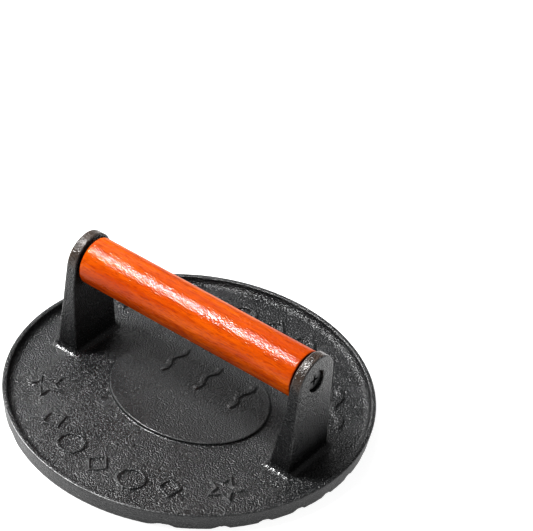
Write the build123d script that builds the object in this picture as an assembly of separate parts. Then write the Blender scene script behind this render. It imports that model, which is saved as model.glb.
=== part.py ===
from build123d import *
import math
import os

# Bacon press: one iron casting (round plate grooved below, with two upright posts), a turned
# wooden grip between the posts, and the long screw that the grip turns on.
# Origin: centre of the underside. +Z up, +X along the grip towards the screw's head.

# ---- driving dimensions, mm ----
PLATE_R = 105.0          # plate radius at the rim's top
PLATE_R_BASE = 103.4     # plate radius at the underside; the wall is drafted
RIM_H = 11.0             # height of the rim
RIM_TOP_W = 2.8          # width of the rim's flat top
RIM_WALL_RUN = 1.0       # how far the rim's inner wall leans in as it goes down
FIELD_Z = 6.2            # height of the dished field inside the rim
RIM_FILLET = 4.3         # hollow round between the rim's wall and the field
RIM_EDGE_R = 0.7         # worn edges of the rim
BASE_EDGE_R = 0.8        # worn edge of the underside

GROOVE_COUNT = 10
GROOVE_PITCH = 19.7
GROOVE_MOUTH_W = 7.2
GROOVE_FLOOR_W = 2.6
GROOVE_DEPTH = 2.0
GROOVE_LIP_W = 0.6       # width of the eased edge beside each groove
GROOVE_LIP_DEPTH = 0.3
GROOVE_ROUND = 1.1       # round at the foot of the groove's walls
GROOVE_OVERCUT = 1.0     # how far the cutter hangs below the plate

AXIS_Z = 61.8            # height of the grip's axis above the underside
POST_GAP = 148.6         # clear distance between the posts on the axis
POST_T = 6.9             # thickness of a post on the axis
POST_TOP_R = 15.4        # radius of a post's rounded top
POST_HALF_W = 17.8       # half width of a post at its foot
POST_SEAT_LEAN = 1.5     # degrees the inner face leans beside the grip
POST_SEAT_LOW = 14.0     # how far below the axis that part of the face ends
POST_FOOT_RUN = 5.7      # how much further in the inner face has come at the foot
POST_OUTER_RUN = 1.1     # how much further out the outer face has come at the foot
POST_KNEE_R = 12.0       # soft bend of the inner face where the lean changes
POST_EDGE_R = 0.8        # rounded edges of a post
POST_FOOT_R = 4.2        # hollow round between a post and the field
POST_ROOT = 1.0          # how far a post starts below the field

SCREW_R = 3.0            # shank, and thread over its crests
SCREW_ROOT_R = 2.6       # thread at its roots
THREAD_PITCH = 1.0
THREAD_LENGTH = 12.0
THREAD_CLEARANCE = 0.03
HEAD_R = 6.05
HEAD_H = 2.7
HEAD_EDGE_R = 0.6
CROSS_SPAN = 6.4         # cross recess in the head, tip to tip
CROSS_W = 1.5
CROSS_DEPTH = 1.7
CROSS_TAPER = 12.0       # degrees
COUNTERBORE_R = 6.5
HOLE_OVERCUT = 5.0       # how far the hole cutters reach past the posts' outer faces
COUNTERBORE_DEPTH = 4.4
TAPPED_MOUTH_R = 2.5     # open end of the tapped hole, seen from outside
SCREW_END_INSET = 2.6    # screw's end, inside the far post's outer face
SCREW_END_GAP = 0.2      # full thread beyond the screw's end

GRIP_R = 14.0
GRIP_END_GAP = 0.45      # least gap between the grip's end and a post
GRIP_BORE_CLEARANCE = 0.08
GRIP_EDGE_R = 0.9

RELIEF_H = 1.0           # height of the raised marks on the field
RELIEF_TAPER = 25.0      # degrees of draft on their sides
RELIEF_STROKE = 2.7      # width of their lines at the foot
RELIEF_SINK = 0.3        # how far they run down into the field
RING_R = 80.0            # radius of the circle the marks stand on
MARK_R = 8.8             # half length of a lozenge, radius of a ring
LOZENGE_WIDTH = 0.85     # of its length
LOZENGE_INSET = 1.3      # strokes from the outline's tip to the inner tip, which is sharper
STAR_R = 12.0
STAR_WAIST = 0.47        # inner corners' radius, of the outer
STAR_INSET = 1.8         # strokes from tip to inner tip
MARK_STEP = 15.3         # degrees between neighbouring marks
MARKS_PER_SIDE = 5
STAR_ANGLES = (-38, -142)
WAVE_ANGLES = (34, 146)
WAVE_RING_R = 83.0       # the wavy strips stand a little further out
WAVE_CHORD = 11.0        # length of one bend of a wavy strip
WAVE_SWING = 2.2         # height of one bend
WAVE_W = 4.2
WAVE_BENDS = 3

PLAQUE_A = 48.0          # half length of the oval plaque in the middle
PLAQUE_B = 40.5          # half width
PLAQUE_H = 1.8
PLAQUE_FOOT_R = 0.9
PLAQUE_EDGE_R = 0.3
PLAQUE_ROOT = 1.0        # how far it starts below the field
RASHER_CHORD = 8.0       # three wavy strips raised on the plaque
RASHER_SWING = 1.3
RASHER_W = 3.4
RASHER_H = 0.6
RASHER_BENDS = 3
RASHER_X = (-24.0, 0.0, 24.0)
RASHER_Y = 16.0

EDGE_MATCH = 0.01        # how near an edge's place has to be when it is picked for rounding

# ---- worked out from them ----
POST_IN_X = POST_GAP / 2
POST_OUT_X = POST_IN_X + POST_T
SEAT_SLOPE = math.tan(math.radians(POST_SEAT_LEAN))
HEAD_SEAT_X = POST_OUT_X - COUNTERBORE_DEPTH
SCREW_END_X = -(POST_OUT_X - SCREW_END_INSET)


def about_x(part, x):
    """Turns a part made along Z so that it lies along the grip's axis, starting at x."""
    return Pos(x, 0, AXIS_Z) * Rot(0, 90, 0) * part


def plate_blank():
    """Dished round plate with its raised rim, before the grooves."""
    rim_in = PLATE_R - RIM_TOP_W
    outline = Polyline(
        (0, 0),
        (PLATE_R_BASE, 0),
        (PLATE_R, RIM_H),
        (rim_in, RIM_H),
        (rim_in - RIM_WALL_RUN, FIELD_Z),
        (0, FIELD_Z),
        close=True,
    )
    section = make_face(outline)
    rounds = (
        ((PLATE_R_BASE, 0), BASE_EDGE_R),
        ((PLATE_R, RIM_H), RIM_EDGE_R),
        ((rim_in, RIM_H), RIM_EDGE_R),
        ((rim_in - RIM_WALL_RUN, FIELD_Z), RIM_FILLET),
    )
    for (r, z), radius in rounds:
        corner = section.vertices().sort_by_distance((r, z, 0))[0]
        section = fillet(corner, radius)
    return revolve(Plane.XZ * section, Axis.Z)


def groove_cutter():
    """Long bar with the groove's cross-section, lying along X under the plate."""
    mouth = GROOVE_MOUTH_W / 2
    lip_run = GROOVE_LIP_W * (1 + GROOVE_OVERCUT / GROOVE_LIP_DEPTH)
    half = [
        (mouth + lip_run, -GROOVE_OVERCUT),
        (mouth, GROOVE_LIP_DEPTH),
        (GROOVE_FLOOR_W / 2, GROOVE_DEPTH),
    ]
    outline = half + [(-y, z) for y, z in reversed(half)]
    section = make_face(Polyline(*outline, close=True))
    for y, z in (half[1], half[2]):
        for side in (1, -1):
            corner = section.vertices().sort_by_distance((side * y, z, 0))[0]
            section = fillet(corner, GROOVE_ROUND)
    return extrude(Plane.YZ * section, amount=PLATE_R, both=True)


def post_outline():
    """Face in the YZ plane: straight sides that close in on a round top."""
    drop = AXIS_Z - FIELD_Z
    reach = math.hypot(POST_HALF_W, drop)
    lean = math.acos(POST_TOP_R / reach) - math.atan2(drop, POST_HALF_W)
    tangent_y = POST_TOP_R * math.cos(lean)
    tangent_z = AXIS_Z + POST_TOP_R * math.sin(lean)
    foot_z = FIELD_Z - POST_ROOT
    foot_y = POST_HALF_W + POST_ROOT * math.tan(lean)
    right = (tangent_y, tangent_z)
    left = (-tangent_y, tangent_z)
    edges = [
        Line((-foot_y, foot_z), (foot_y, foot_z)),
        Line((foot_y, foot_z), right),
        ThreePointArc(right, (0, AXIS_Z + POST_TOP_R), left),
        Line(left, (-foot_y, foot_z)),
    ]
    return make_face(Curve() + edges)


def post_side():
    """Face in the XZ plane: the post's thickness, seen from the side."""
    low = FIELD_Z - POST_ROOT
    high = AXIS_Z + POST_TOP_R + 1
    seat_z = AXIS_Z - POST_SEAT_LOW
    seat_x = POST_IN_X - POST_SEAT_LOW * SEAT_SLOPE
    top_x = POST_IN_X + (high - AXIS_Z) * SEAT_SLOPE
    out_slope = POST_OUTER_RUN / (AXIS_Z - FIELD_Z)
    outline = Polyline(
        (seat_x - POST_FOOT_RUN, low),
        (POST_OUT_X + out_slope * (AXIS_Z - low), low),
        (POST_OUT_X - out_slope * (high - AXIS_Z), high),
        (top_x, high),
        (seat_x, seat_z),
        close=True,
    )
    section = make_face(outline)
    knee = section.vertices().sort_by_distance((seat_x, seat_z, 0))[0]
    return fillet(knee, POST_KNEE_R)


def post():
    """The +X post, with all its long edges rounded."""
    slab = extrude(Plane.YZ * post_outline(), amount=PLATE_R)
    wedge = extrude(Plane.XZ * post_side(), amount=2 * POST_HALF_W, both=True)
    body = slab & wedge
    long_edges = [e for e in body.edges() if e.bounding_box().size.Z > 1]
    return fillet(long_edges, POST_EDGE_R)


def lozenge(radius):
    side = radius * LOZENGE_WIDTH
    return Polygon((radius, 0), (0, side), (-radius, 0), (0, -side), align=None)


def lozenge_mark():
    return lozenge(MARK_R) - lozenge(MARK_R - RELIEF_STROKE * LOZENGE_INSET)


def ring_mark():
    return Circle(MARK_R) - Circle(MARK_R - RELIEF_STROKE)


def star(radius):
    """Plain five-pointed star."""
    points = []
    for k in range(10):
        r = radius if k % 2 == 0 else radius * STAR_WAIST
        a = math.radians(36 * k)
        points.append((r * math.cos(a), r * math.sin(a)))
    return Polygon(*points, align=None)


def star_mark():
    return star(STAR_R) - star(STAR_R - RELIEF_STROKE * STAR_INSET)


def wavy_strip(bends, chord, swing, width):
    """Strip along Y whose centre line is a chain of equal arcs, bent to one side and the other."""
    radius = (chord ** 2 / 4 + swing ** 2) / (2 * swing)
    half_angle = math.asin(chord / 2 / radius)
    reach = 2 * radius
    spread = reach * math.tan(half_angle)
    sector = Polygon((0, 0), (reach, -spread), (reach, spread), align=None)
    ring = Circle(radius + width / 2) - Circle(radius - width / 2)
    bend = Pos(swing - radius, 0, 0) * (ring & sector)
    strip = Sketch()
    for k in range(bends):
        y = (k - (bends - 1) / 2) * chord
        strip += Pos(0, y, 0) * Rot(0, 0, 180 * (k % 2)) * bend
    return strip


def raised(sketch, height):
    """Raises a mark from inside the field, with drafted sides."""
    return extrude(sketch, amount=RELIEF_SINK + height, taper=RELIEF_TAPER)


def on_ring(sketch, angle, radius=RING_R):
    """Puts a mark on the ring at an angle in degrees from +X."""
    return Pos(0, 0, FIELD_Z - RELIEF_SINK) * Rot(0, 0, angle) * Pos(radius, 0, 0) * sketch


def ring_marks():
    """Two arcs of alternating lozenges and rings, stars at their ends and wavy strips."""
    marks = []
    middle = (MARKS_PER_SIDE - 1) / 2
    for side_angle in (90, -90):
        for k in range(MARKS_PER_SIDE):
            shape = ring_mark() if k % 2 else lozenge_mark()
            angle = side_angle + (k - middle) * MARK_STEP
            marks.append(raised(on_ring(shape, angle), RELIEF_H))
    for angle in STAR_ANGLES:
        marks.append(raised(on_ring(star_mark(), angle), RELIEF_H))
    wave = wavy_strip(WAVE_BENDS, WAVE_CHORD, WAVE_SWING, WAVE_W)
    for angle in WAVE_ANGLES:
        marks.append(raised(on_ring(wave, angle, WAVE_RING_R), RELIEF_H))
    return marks


def plaque():
    """Low oval plateau in the middle of the field, with wavy strips raised on it."""
    slab = extrude(Ellipse(PLAQUE_A, PLAQUE_B), amount=PLAQUE_ROOT + PLAQUE_H)
    slab = fillet(slab.edges().group_by(Axis.Z)[-1], PLAQUE_EDGE_R)
    return Pos(0, 0, FIELD_Z - PLAQUE_ROOT) * slab


def rashers():
    """Wavy strips side by side on the plaque's far half."""
    base = FIELD_Z + PLAQUE_H - RELIEF_SINK
    strip = wavy_strip(RASHER_BENDS, RASHER_CHORD, RASHER_SWING, RASHER_W)
    return [raised(Pos(x, RASHER_Y, base) * strip, RASHER_H) for x in RASHER_X]


def screw_holes():
    """Counterbored hole in the +X post and tapped hole in the -X post."""
    shank_r = SCREW_R + THREAD_CLEARANCE
    outer = POST_OUT_X + HOLE_OVERCUT
    hole_end = SCREW_END_X - SCREW_END_GAP
    bore = about_x(extrude(Circle(shank_r), amount=outer - hole_end), hole_end)
    counterbore = about_x(extrude(Circle(COUNTERBORE_R), amount=outer - HEAD_SEAT_X), HEAD_SEAT_X)
    mouth = about_x(extrude(Circle(TAPPED_MOUTH_R), amount=outer + hole_end), -outer)
    return bore + counterbore + mouth


def make_casting():
    """Plate, rim, grooves, posts and raised marks: one piece of cast iron."""
    body = plate_blank()
    first = -(GROOVE_COUNT - 1) / 2 * GROOVE_PITCH
    cutter = groove_cutter()
    for k in range(GROOVE_COUNT):
        body -= Pos(0, first + k * GROOVE_PITCH, 0) * cutter
    body += plaque()
    body = fillet(plaque_foot(body), PLAQUE_FOOT_R)
    near = post()
    body += near
    body += mirror(near, Plane.YZ)
    body = fillet(post_feet(body), POST_FOOT_R)
    for mark in ring_marks() + rashers():
        body += mark
    return body - screw_holes()


def on_field(box):
    """True for the box of an edge that lies flat at the field's height."""
    return box.size.Z < EDGE_MATCH and abs(box.max.Z - FIELD_Z) < EDGE_MATCH


def plaque_foot(body):
    """Edge where the plaque meets the field."""
    boxes = [(edge, edge.bounding_box()) for edge in body.edges()]
    return [e for e, box in boxes if on_field(box) and box.size.X / 2 < PLAQUE_A + EDGE_MATCH]


def post_feet(body):
    """Edges where the posts meet the field."""
    found = []
    for edge in body.edges():
        box = edge.bounding_box()
        outside_plaque = min(abs(box.min.X), abs(box.max.X)) > PLAQUE_A + PLAQUE_FOOT_R + EDGE_MATCH
        beside_axis = box.size.Y < 2 * POST_HALF_W + 1
        if on_field(box) and outside_plaque and beside_axis:
            found.append(edge)
    return found


def make_grip():
    """Straight turned wooden grip with eased ends, bored through for the screw."""
    lowest_in_x = POST_IN_X - GRIP_R * SEAT_SLOPE
    half = lowest_in_x - GRIP_END_GAP
    rod = extrude(Circle(GRIP_R), amount=2 * half)
    rod = fillet(rod.edges(), GRIP_EDGE_R)
    rod -= extrude(Circle(SCREW_R + GRIP_BORE_CLEARANCE), amount=2 * half)
    return about_x(rod, -half)


def make_screw():
    """Long machine screw: low round head with a cross recess, plain shank, threaded end."""
    length = HEAD_SEAT_X - SCREW_END_X
    top = length + HEAD_H
    points = [(0, 0), (SCREW_ROOT_R, 0)]
    turns = int(THREAD_LENGTH / THREAD_PITCH)
    for k in range(turns):
        z = k * THREAD_PITCH
        points += [(SCREW_R, z + 0.5 * THREAD_PITCH), (SCREW_ROOT_R, z + THREAD_PITCH)]
    points += [
        (SCREW_R, THREAD_LENGTH + 0.5 * THREAD_PITCH),
        (SCREW_R, length),
        (HEAD_R, length),
        (HEAD_R, top),
        (0, top),
    ]
    section = make_face(Polyline(*points, close=True))
    rim = section.vertices().sort_by_distance((HEAD_R, top, 0))[0]
    section = fillet(rim, HEAD_EDGE_R)
    body = revolve(Plane.XZ * section, Axis.Z)
    cross = Rectangle(CROSS_SPAN, CROSS_W) + Rectangle(CROSS_W, CROSS_SPAN)
    recess = extrude(Pos(0, 0, top) * cross, amount=-CROSS_DEPTH, taper=CROSS_TAPER)
    return about_x(body - recess, SCREW_END_X)


os.makedirs("parts", exist_ok=True)
nodes = {
    "press_casting": make_casting(),
    "grip": make_grip(),
    "handle_screw": make_screw(),
}
for name, shape in nodes.items():
    shape.label = name
    export_step(shape, "parts/" + name + ".step")
    print(name, round(shape.volume), shape.bounding_box())
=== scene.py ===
import math

import bmesh
import bpy
import numpy as np
from mathutils import Matrix, Vector


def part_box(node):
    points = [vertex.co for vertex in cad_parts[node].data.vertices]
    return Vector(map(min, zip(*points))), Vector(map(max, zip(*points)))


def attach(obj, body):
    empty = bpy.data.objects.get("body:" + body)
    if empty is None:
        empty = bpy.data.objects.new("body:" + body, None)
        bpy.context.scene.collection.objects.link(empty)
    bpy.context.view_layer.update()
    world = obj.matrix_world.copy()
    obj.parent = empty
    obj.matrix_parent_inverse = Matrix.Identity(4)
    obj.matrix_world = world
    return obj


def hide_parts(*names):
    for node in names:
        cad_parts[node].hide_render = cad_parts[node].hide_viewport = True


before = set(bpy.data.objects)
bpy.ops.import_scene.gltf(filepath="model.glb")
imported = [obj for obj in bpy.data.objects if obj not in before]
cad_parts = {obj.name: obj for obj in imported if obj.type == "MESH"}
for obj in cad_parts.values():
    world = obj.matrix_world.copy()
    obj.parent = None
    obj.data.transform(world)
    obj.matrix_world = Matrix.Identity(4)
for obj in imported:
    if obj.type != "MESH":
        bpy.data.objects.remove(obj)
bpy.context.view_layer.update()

MM = 0.001

# Bacon press: a cast-iron plate with two posts, and a lacquered wooden grip on a long screw.
# Metres, +Z up, +X along the grip towards the screw's head, origin at the underside's centre.

# ---- camera: where it stands, what it looks at and how it is tilted ----
CAMERA_AZIMUTH = 34.88      # degrees round the object from straight in front
CAMERA_ELEVATION = 40.23
CAMERA_DISTANCE = 1.2994
CAMERA_TARGET = (-0.0452, 0.1331, 0.0)
CAMERA_ROLL = 6.78
CAMERA_LENS = 155.6         # millimetres, on a 36 mm sensor
SENSOR_WIDTH = 36.0

# ---- sizes read from the frame ----
CAST_LOW, CAST_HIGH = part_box("press_casting")
GRIP_LOW, GRIP_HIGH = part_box("grip")
AXIS_Z = (GRIP_LOW.z + GRIP_HIGH.z) / 2
GRIP_R = (GRIP_HIGH.z - GRIP_LOW.z) / 2
GRIP_HALF = (GRIP_HIGH.x - GRIP_LOW.x) / 2

# ---- where things lie on the casting ----
PLAQUE_A = 48 * MM          # half axes of the oval plaque in the middle of the plate
PLAQUE_B = 40.5 * MM
TOP_SIDE = 5 * MM           # above this height lies the field, and below it the underside
RIM_LOW = 9 * MM            # above this height lies the rim's upper edge
WALL_R = 103 * MM           # beyond this radius lies the plate's outer wall
RIM_EDGE_R = 103.4 * MM     # and beyond this one only the outer edge of the rim's top
FIELD_R = 97 * MM           # here the flat field ends, at the hollow round inside the rim
FEET_TOP = 20 * MM          # above this height there is no hollow round of a post's foot
FEET_HALF_W = 28 * MM       # and none further than this from the X axis

# ---- the rim's outer edge gets a painted highlight along the front: where that fades in, from none to full ----
RIM_HIGHLIGHT_X_LEFT = (-75 * MM, -50 * MM)
RIM_HIGHLIGHT_X_RIGHT = (55 * MM, 10 * MM)
RIM_HIGHLIGHT_Y_FRONT = (-60 * MM, -70 * MM)

# ---- how finely the pieces are made ----
VOXEL = 0.4 * MM
WAVE_SIZE = 14 * MM         # broad unevenness of the casting, and how deep it is
WAVE_DEPTH = 0.12 * MM
SKIN_SIZE = 2.6 * MM        # finer unevenness
SKIN_DEPTH = 0.05 * MM
GRIP_SEGMENTS = 240
GRIP_STEPS = 160            # rings along the grip's straight part
GRIP_EASE = 1.3 * MM        # round at the grip's ends
GRIP_EASE_STEPS = 6
GRIP_BORE_R = 3.08 * MM
GRIP_BORE_BEVEL = 0.3 * MM

# ---- depths of the bumps in the materials ----
SAND_DEPTH = 0.46 * MM
WOOD_DEPTH = 0.25 * MM
PORE_DEPTH = 0.13 * MM
STEEL_DEPTH = 0.08 * MM

# ---- colours, linear ----
IRON_DARK = (0.0045, 0.0048, 0.0053, 1)
IRON_PALE = (0.0085, 0.009, 0.0096, 1)
# painted glints: pale grey specks for the sparkle of the sand-cast skin
IRON_GLINT_SPECK = (0.085, 0.085, 0.085, 1)
IRON_PLAQUE = (0.02, 0.0205, 0.021, 1)
IRON_GROUND = (0.034, 0.02, 0.013, 1)
IRON_WORN = (0.11, 0.11, 0.11, 1)
# painted highlight: pale grey for the light that the rim's front edge catches
IRON_RIM_HIGHLIGHT = (0.36, 0.36, 0.36, 1)
WOOD_PALE = (0.51, 0.095, 0.001, 1)
WOOD_STREAK = (0.33, 0.044, 0.0012, 1)
WOOD_PATCH = (0.33, 0.034, 0.0012, 1)
WOOD_PORE = (0.17, 0.014, 0.001, 1)
# painted shade: near-black for the shadow where the grip's ends meet the posts
WOOD_END_SHADE = (0.05, 0.008, 0.003, 1)
STEEL_DARK = (0.005, 0.005, 0.0055, 1)
STEEL_RUBBED = (0.03, 0.03, 0.032, 1)
FLOOR_DARK = (0.46, 0.46, 0.46, 1)
FLOOR_PALE = (0.5, 0.5, 0.5, 1)
WHITE = (1.0, 1.0, 1.0, 1)

# ---- stage ----
FLOOR_HALF = 40.0           # metres; large enough to have no edge at a low camera
FLOOR_DROP = 0.1 * MM       # just below the part, so that the two surfaces never coincide
FLOOR_GLOW = 0.75
SKY_STRENGTH = 0.19
# name: direction, distance, shift, height aimed at, size along X and across, watts
LIGHTS = {
    "key": ((-0.436, -0.2465, 0.865), 1.5, (0, 0, 0), 40 * MM, (0.22, 0.42), 42.0),
    "back": ((-0.436, 0.626, 0.646), 1.3, (-0.34, -0.16, 0), 10 * MM, (0.9, 0.9), 4.1),
    "rake": ((-0.87, 0.15, 0.45), 1.3, (0, 0, 0), 10 * MM, (0.5, 0.5), 4.0),
}


# ---------------------------------------------------------------- helpers

def new_object(name, data):
    obj = bpy.data.objects.new(name, data)
    bpy.context.scene.collection.objects.link(obj)
    return obj


def bake_modifiers(obj):
    """Applies an object's modifiers and leaves plain geometry."""
    bpy.context.view_layer.update()
    evaluated = obj.evaluated_get(bpy.context.evaluated_depsgraph_get())
    mesh = bpy.data.meshes.new_from_object(evaluated)
    old = obj.data
    obj.modifiers.clear()
    obj.data = mesh
    bpy.data.meshes.remove(old)


def shade_smooth(mesh):
    mesh.polygons.foreach_set("use_smooth", np.ones(len(mesh.polygons), bool))
    mesh.update()


def clouds(name, size, depth):
    texture = bpy.data.textures.new(name, "CLOUDS")
    texture.noise_scale = size
    texture.noise_depth = depth
    return texture


def displace(obj, texture, strength):
    """Moves the surface in and out by up to half the strength."""
    modifier = obj.modifiers.new("skin", "DISPLACE")
    modifier.texture = texture
    modifier.texture_coords = "LOCAL"
    modifier.strength = strength
    modifier.mid_level = 0.5


def clamp_to_box(mesh, low, high):
    """Keeps every point of a mesh inside a CAD node's box."""
    points = np.zeros(len(mesh.vertices) * 3, np.float32)
    mesh.vertices.foreach_get("co", points)
    points = np.clip(points.reshape(-1, 3), np.array(low), np.array(high))
    mesh.vertices.foreach_set("co", points.reshape(-1).astype(np.float32))
    mesh.update()


class Nodes:
    """Short way to write a material's node tree."""

    def __init__(self, name):
        self.material = bpy.data.materials.new(name)
        self.material.use_nodes = True
        self.tree = self.material.node_tree
        self.shader = self.tree.nodes["Principled BSDF"]
        self.position = self.add("ShaderNodeTexCoord").outputs["Object"]

    def add(self, kind, **settings):
        node = self.tree.nodes.new(kind)
        for key, value in settings.items():
            setattr(node, key, value)
        return node

    def feed(self, socket, value):
        if isinstance(value, bpy.types.NodeSocket):
            self.tree.links.new(value, socket)
        else:
            socket.default_value = value

    def math(self, operation, a, b=0.0):
        node = self.add("ShaderNodeMath", operation=operation)
        self.feed(node.inputs[0], a)
        self.feed(node.inputs[1], b)
        return node.outputs[0]

    def product(self, first, *others):
        for factor in others:
            first = self.math("MULTIPLY", first, factor)
        return first

    def scaled(self, factors):
        node = self.add("ShaderNodeVectorMath", operation="MULTIPLY")
        self.feed(node.inputs[0], self.position)
        node.inputs[1].default_value = factors
        return node.outputs[0]

    def length(self, vector):
        node = self.add("ShaderNodeVectorMath", operation="LENGTH")
        self.feed(node.inputs[0], vector)
        return node.outputs["Value"]

    def noise(self, scale, detail=3.0, roughness=0.5, vector=None, distortion=0.0):
        node = self.add("ShaderNodeTexNoise")
        self.feed(node.inputs["Vector"], vector if vector else self.position)
        node.inputs["Scale"].default_value = scale
        node.inputs["Detail"].default_value = detail
        node.inputs["Roughness"].default_value = roughness
        node.inputs["Distortion"].default_value = distortion
        return node.outputs["Fac"]

    def pebbles(self, scale):
        """Round-topped grains packed side by side: 1 on a grain's top, less away from it."""
        node = self.add("ShaderNodeTexVoronoi", feature="SMOOTH_F1")
        self.feed(node.inputs["Vector"], self.position)
        node.inputs["Scale"].default_value = scale
        node.inputs["Smoothness"].default_value = 0.25
        distance = node.outputs["Distance"]
        return self.math("SUBTRACT", 1.0, self.math("MULTIPLY", distance, distance))

    def remap(self, value, low, high, to_low=0.0, to_high=1.0, smooth=False):
        node = self.add("ShaderNodeMapRange")
        if smooth:
            node.interpolation_type = "SMOOTHSTEP"
        self.feed(node.inputs["Value"], value)
        node.inputs["From Min"].default_value = low
        node.inputs["From Max"].default_value = high
        node.inputs["To Min"].default_value = to_low
        node.inputs["To Max"].default_value = to_high
        return node.outputs["Result"]

    def fade(self, mask, full):
        """Factor that is 1 where the mask is 0, and `full` where it is 1."""
        return self.remap(mask, 0.0, 1.0, 1.0, full)

    def mix(self, factor, a, b):
        node = self.add("ShaderNodeMix", data_type="RGBA")
        self.feed(node.inputs[0], factor)
        self.feed(node.inputs[6], a)
        self.feed(node.inputs[7], b)
        return node.outputs[2]

    def bump(self, height, strength, distance, normal=None):
        node = self.add("ShaderNodeBump")
        node.inputs["Strength"].default_value = strength
        node.inputs["Distance"].default_value = distance
        self.feed(node.inputs["Height"], height)
        if normal:
            self.feed(node.inputs["Normal"], normal)
        return node.outputs["Normal"]

    def axis(self, name, value=None):
        node = self.add("ShaderNodeSeparateXYZ")
        self.feed(node.inputs[0], value if value else self.position)
        return node.outputs[name]


# ---------------------------------------------------------------- materials

def ground_tops(n, normal):
    """Mask of the posts' ground tops: off their flat faces, from about the grip's axis up."""
    facing = n.math("ABSOLUTE", n.axis("X", normal))
    radial = n.remap(facing, 0.35, 0.7, 1.0, 0.0)
    above = n.remap(n.axis("Z"), AXIS_Z - 3 * MM, AXIS_Z + 6 * MM, smooth=True)
    return n.product(radial, above, n.remap(n.noise(260.0), 0.3, 0.6, 0.45, 1.0))


def painted_rim_highlight(n, upright, radius):
    """Mask of the painted highlight on the rim's outer edge along the front: pale colour standing
    in for the light that edge catches there.
    """
    return n.product(
        n.remap(upright, 0.95, 0.85),
        n.remap(upright, 0.45, 0.6),
        n.remap(radius, RIM_EDGE_R, RIM_EDGE_R + 0.4 * MM),
        n.remap(n.axis("Z"), RIM_LOW, RIM_LOW + 0.5 * MM),
        n.remap(n.axis("X"), *RIM_HIGHLIGHT_X_LEFT),
        n.remap(n.axis("X"), *RIM_HIGHLIGHT_X_RIGHT),
        n.remap(n.axis("Y"), *RIM_HIGHLIGHT_Y_FRONT),
        n.remap(n.noise(180.0, detail=2.0), 0.3, 0.55, 0.35, 1.0),
    )


def pooled_oil(n, upright, radius, oval):
    """Mask of the hollow rounds at the posts' feet and round the plaque, where oil has pooled."""
    hollow = n.product(
        n.remap(upright, 0.97, 0.9),
        n.remap(upright, 0.05, 0.3),
        n.remap(n.axis("Z"), FEET_TOP, FEET_TOP - 6 * MM),
        n.remap(radius, FIELD_R, FIELD_R - 3 * MM),
    )
    by_posts = n.remap(n.math("ABSOLUTE", n.axis("Y")), FEET_HALF_W, FEET_HALF_W - 4 * MM)
    by_plaque = n.product(n.remap(oval, 0.93, 0.97), n.remap(oval, 1.12, 1.08))
    return n.product(hollow, n.math("MAXIMUM", by_posts, by_plaque))


def cast_iron():
    """Pre-seasoned cast iron: near-black, pebbled by the mould's sand, barer on worn edges, with
    painted glints in the sand and a painted highlight along the rim's front edge.
    """
    n = Nodes("cast_iron")
    geometry = n.add("ShaderNodeNewGeometry")
    upright = n.axis("Z", geometry.outputs["Normal"])
    radius = n.length(n.scaled((1.0, 1.0, 0.0)))
    oval = n.length(n.scaled((1 / PLAQUE_A, 1 / PLAQUE_B, 0.0)))
    plaque = n.product(n.remap(oval, 1.03, 0.97), n.remap(n.axis("Z"), TOP_SIDE - MM, TOP_SIDE))
    blotch = n.noise(24.0, detail=4.0, roughness=0.55)
    grain = n.noise(1250.0, detail=1.0)
    edge = n.remap(geometry.outputs["Pointiness"], 0.515, 0.57)
    band = ground_tops(n, geometry.outputs["Normal"])
    screw_post_band = n.product(band, n.remap(n.axis("X"), 0.0, MM))
    wall = n.product(n.remap(radius, WALL_R, WALL_R + 0.3 * MM), n.remap(upright, 0.3, 0.1))
    pooled = pooled_oil(n, upright, radius, oval)

    base = n.mix(n.remap(blotch, 0.35, 0.65), IRON_DARK, IRON_PALE)
    # painted sparkle: pale specks in the colour that stand in for the glints of the sand-cast
    # skin
    painted_glints = n.product(n.remap(grain, 0.58, 0.7), n.remap(blotch, 0.3, 0.7, 0.45, 1.0))
    base = n.mix(painted_glints, base, IRON_GLINT_SPECK)
    base = n.mix(n.product(plaque, 0.5), base, IRON_PLAQUE)
    base = n.mix(band, base, IRON_GROUND)
    wear = n.product(edge, n.remap(n.noise(140.0), 0.35, 0.6, 0.3, 1.0))
    base = n.mix(wear, base, IRON_WORN)
    # painted highlight: a pale line along the rim's outer edge at the front, where the lights
    # catch it
    base = n.mix(painted_rim_highlight(n, upright, radius), base, IRON_RIM_HIGHLIGHT)
    n.feed(n.shader.inputs["Base Color"], base)

    # pooled oil and worn edges are glossier, the outer wall is duller
    rough = n.product(
        n.remap(blotch, 0.3, 0.7, 0.22, 0.33),
        n.fade(pooled, 0.7),
        n.fade(wall, 1.7),
        n.fade(band, 1.05),
        n.fade(screw_post_band, 0.78),
        n.fade(edge, 0.8),
    )
    n.feed(n.shader.inputs["Roughness"], rough)
    n.shader.inputs["Specular IOR Level"].default_value = 0.5

    # the sand's texture is finer on the plaque, and filled or worn away where the masks are
    height = n.product(
        n.math("ADD", n.math("MULTIPLY", grain, 0.5), n.pebbles(1060.0)),
        n.fade(plaque, 0.68),
        n.fade(pooled, 0.35),
        n.fade(band, 0.55),
        n.fade(edge, 0.35),
    )
    n.feed(n.shader.inputs["Normal"], n.bump(height, 1.0, SAND_DEPTH))
    return n.material


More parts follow.
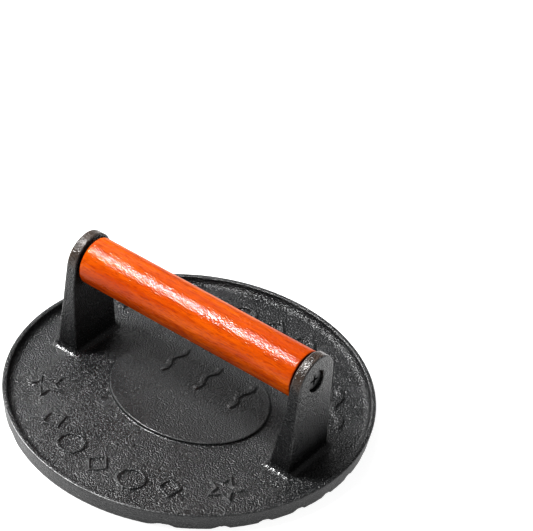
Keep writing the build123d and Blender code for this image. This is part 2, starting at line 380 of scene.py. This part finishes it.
def lacquered_wood():
    """Orange-red stained wood with fine lengthwise grain under gloss lacquer."""
    n = Nodes("lacquered_wood")
    fine = n.noise(1150.0, detail=1.0, vector=n.scaled((0.6, 1.0, 1.0)))
    lengthwise = n.scaled((0.1, 1.0, 1.0))
    streak = n.noise(420.0, detail=2.0, roughness=0.6, vector=lengthwise, distortion=0.5)
    dashes = n.noise(1500.0, detail=1.0, vector=n.scaled((0.13, 1.0, 1.0)))
    patch = n.noise(32.0, vector=n.scaled((0.35, 1.0, 1.0)))

    base = n.mix(n.remap(streak, 0.35, 0.68), WOOD_PALE, WOOD_STREAK)
    base = n.mix(n.remap(patch, 0.44, 0.62, 0.0, 0.7), base, WOOD_PATCH)
    base = n.mix(n.remap(dashes, 0.5, 0.73, 0.0, 0.6), base, WOOD_PORE)
    along = n.math("ABSOLUTE", n.axis("X"))
    # painted shade: the last bit of each eased end is darkened near black, for the shadow in the
    # gap beside the posts
    end = n.remap(along, GRIP_HALF - 0.8 * MM, GRIP_HALF - 0.3 * MM)
    base = n.mix(end, base, WOOD_END_SHADE)
    n.feed(n.shader.inputs["Base Color"], base)
    n.feed(n.shader.inputs["Roughness"], n.remap(streak, 0.3, 0.7, 0.5, 0.62))
    n.shader.inputs["Specular IOR Level"].default_value = 0.0
    n.shader.inputs["Coat Weight"].default_value = 0.32
    n.shader.inputs["Coat Roughness"].default_value = 0.07
    normal = n.bump(fine, 1.0, WOOD_DEPTH)
    normal = n.bump(dashes, 0.5, PORE_DEPTH, normal)
    n.feed(n.shader.inputs["Normal"], normal)
    n.feed(n.shader.inputs["Coat Normal"], normal)
    return n.material


def black_steel():
    """Black-oxide screw steel, rubbed brighter in places."""
    n = Nodes("screw_steel")
    rub = n.noise(900.0, roughness=0.6)
    base = n.mix(n.remap(rub, 0.4, 0.7), STEEL_DARK, STEEL_RUBBED)
    n.feed(n.shader.inputs["Base Color"], base)
    n.feed(n.shader.inputs["Roughness"], n.remap(rub, 0.3, 0.7, 0.5, 0.32))
    n.shader.inputs["Metallic"].default_value = 0.3
    n.feed(n.shader.inputs["Normal"], n.bump(rub, 0.3, STEEL_DEPTH))
    return n.material


def floor_material():
    """Pale matt floor with a glow of its own, which leaves almost no shadow."""
    n = Nodes("pale_floor")
    n.feed(n.shader.inputs["Base Color"], n.mix(n.noise(6.0), FLOOR_DARK, FLOOR_PALE))
    n.shader.inputs["Emission Color"].default_value = WHITE
    n.shader.inputs["Emission Strength"].default_value = FLOOR_GLOW
    n.shader.inputs["Roughness"].default_value = 0.7
    return n.material


# ---------------------------------------------------------------- pieces

def make_casting():
    """The casting with softened edges and an uneven sand-cast skin."""
    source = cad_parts["press_casting"]
    casting = new_object("iron_casting", source.data.copy())
    remesh = casting.modifiers.new("remesh", "REMESH")
    remesh.mode = "VOXEL"
    remesh.voxel_size = VOXEL
    soften = casting.modifiers.new("soften", "SMOOTH")
    soften.factor = 0.5
    soften.iterations = 1
    displace(casting, clouds("waves", WAVE_SIZE, 2), WAVE_DEPTH)
    displace(casting, clouds("skin", SKIN_SIZE, 1), SKIN_DEPTH)
    bake_modifiers(casting)
    clamp_to_box(casting.data, CAST_LOW, CAST_HIGH)
    shade_smooth(casting.data)
    casting.data.materials.clear()
    casting.data.materials.append(cast_iron())
    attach(casting, "press_frame")
    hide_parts("press_casting")


def lathe(name, profile, segments):
    """Closed ring mesh: a loop of (x, radius) points turned about the grip's axis."""
    mesh = bpy.data.meshes.new(name)
    bm = bmesh.new()
    rings = []
    for k in range(segments):
        angle = 2 * math.pi * k / segments
        ring = []
        for x, radius in profile:
            point = (x, radius * math.cos(angle), AXIS_Z + radius * math.sin(angle))
            ring.append(bm.verts.new(point))
        rings.append(ring)
    count = len(profile)
    for k in range(segments):
        this, after = rings[k], rings[(k + 1) % segments]
        for i in range(count):
            j = (i + 1) % count
            bm.faces.new((this[i], this[j], after[j], after[i]))
    bmesh.ops.recalc_face_normals(bm, faces=bm.faces)
    bm.to_mesh(mesh)
    bm.free()
    return new_object(name, mesh)


def grip_profile():
    """Loop of (x, radius) points: eased end, straight rod, eased end, and back along the bore."""
    straight = GRIP_HALF - GRIP_EASE
    shoulder = GRIP_R - GRIP_EASE
    angles = [math.radians(90 * k / GRIP_EASE_STEPS) for k in range(GRIP_EASE_STEPS + 1)]
    profile = []
    for a in angles:
        profile.append((-straight - GRIP_EASE * math.cos(a), shoulder + GRIP_EASE * math.sin(a)))
    for k in range(1, GRIP_STEPS):
        profile.append((-straight + 2 * straight * k / GRIP_STEPS, GRIP_R))
    for a in angles:
        profile.append((straight + GRIP_EASE * math.sin(a), shoulder + GRIP_EASE * math.cos(a)))
    profile.append((GRIP_HALF, GRIP_BORE_R + GRIP_BORE_BEVEL))
    profile.append((GRIP_HALF - GRIP_BORE_BEVEL, GRIP_BORE_R))
    profile.append((-GRIP_HALF + GRIP_BORE_BEVEL, GRIP_BORE_R))
    profile.append((-GRIP_HALF, GRIP_BORE_R + GRIP_BORE_BEVEL))
    return profile


def make_grip():
    """Turned wooden grip with eased ends and a through bore."""
    grip = lathe("wooden_grip", grip_profile(), GRIP_SEGMENTS)
    shade_smooth(grip.data)
    clamp_to_box(grip.data, GRIP_LOW, GRIP_HIGH)
    grip.data.materials.append(lacquered_wood())
    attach(grip, "grip")
    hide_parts("grip")


def dress_screw():
    """The screw keeps its CAD mesh and gets the steel."""
    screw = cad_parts["handle_screw"]
    steel = black_steel()
    for material_slot in screw.material_slots:
        material_slot.material = steel


# ---------------------------------------------------------------- stage

def make_floor():
    mesh = bpy.data.meshes.new("floor")
    signs = ((-1, -1), (1, -1), (1, 1), (-1, 1))
    corners = [(x * FLOOR_HALF, y * FLOOR_HALF, -FLOOR_DROP) for x, y in signs]
    mesh.from_pydata(corners, [], [(0, 1, 2, 3)])
    floor = new_object("floor", mesh)
    floor.data.materials.append(floor_material())


def area_light(name, place, target, size, energy):
    """Rectangular light with its first size along world X."""
    data = bpy.data.lights.new(name, "AREA")
    data.shape = "RECTANGLE"
    data.size, data.size_y = size
    data.energy = energy
    light = new_object(name, data)
    forward = (Vector(target) - Vector(place)).normalized()
    up = forward.cross(Vector((-1, 0, 0))).normalized()
    right = forward.cross(up)
    turn = Matrix((right, up, -forward)).transposed().to_4x4()
    light.matrix_world = Matrix.Translation(place) @ turn


def make_lights():
    world = bpy.data.worlds.new("studio")
    world.use_nodes = True
    background = world.node_tree.nodes["Background"]
    background.inputs["Color"].default_value = WHITE
    background.inputs["Strength"].default_value = SKY_STRENGTH
    bpy.context.scene.world = world
    for name, (direction, distance, shift, height, size, energy) in LIGHTS.items():
        place = Vector(direction) * distance + Vector(shift)
        area_light(name, place, (0, 0, height), size, energy)


def make_camera():
    azimuth = math.radians(CAMERA_AZIMUTH)
    elevation = math.radians(CAMERA_ELEVATION)
    direction = Vector((
        math.sin(azimuth) * math.cos(elevation),
        -math.cos(azimuth) * math.cos(elevation),
        math.sin(elevation),
    ))
    place = direction * CAMERA_DISTANCE
    forward = (Vector(CAMERA_TARGET) - place).normalized()
    level = forward.cross(Vector((0, 0, 1))).normalized()
    upright = level.cross(forward)
    roll = math.radians(CAMERA_ROLL)
    right = level * math.cos(roll) + upright * math.sin(roll)
    up = upright * math.cos(roll) - level * math.sin(roll)
    data = bpy.data.cameras.new("camera")
    data.sensor_width = SENSOR_WIDTH
    data.lens = CAMERA_LENS
    data.clip_end = 20.0
    camera = new_object("camera", data)
    turn = Matrix((right, up, -forward)).transposed().to_4x4()
    camera.matrix_world = Matrix.Translation(place) @ turn
    bpy.context.scene.camera = camera


make_camera()
make_floor()
make_lights()
make_casting()
make_grip()
dress_screw()

bpy.context.scene.view_settings.view_transform = "Standard"
bpy.context.scene.view_settings.look = "Medium High Contrast"
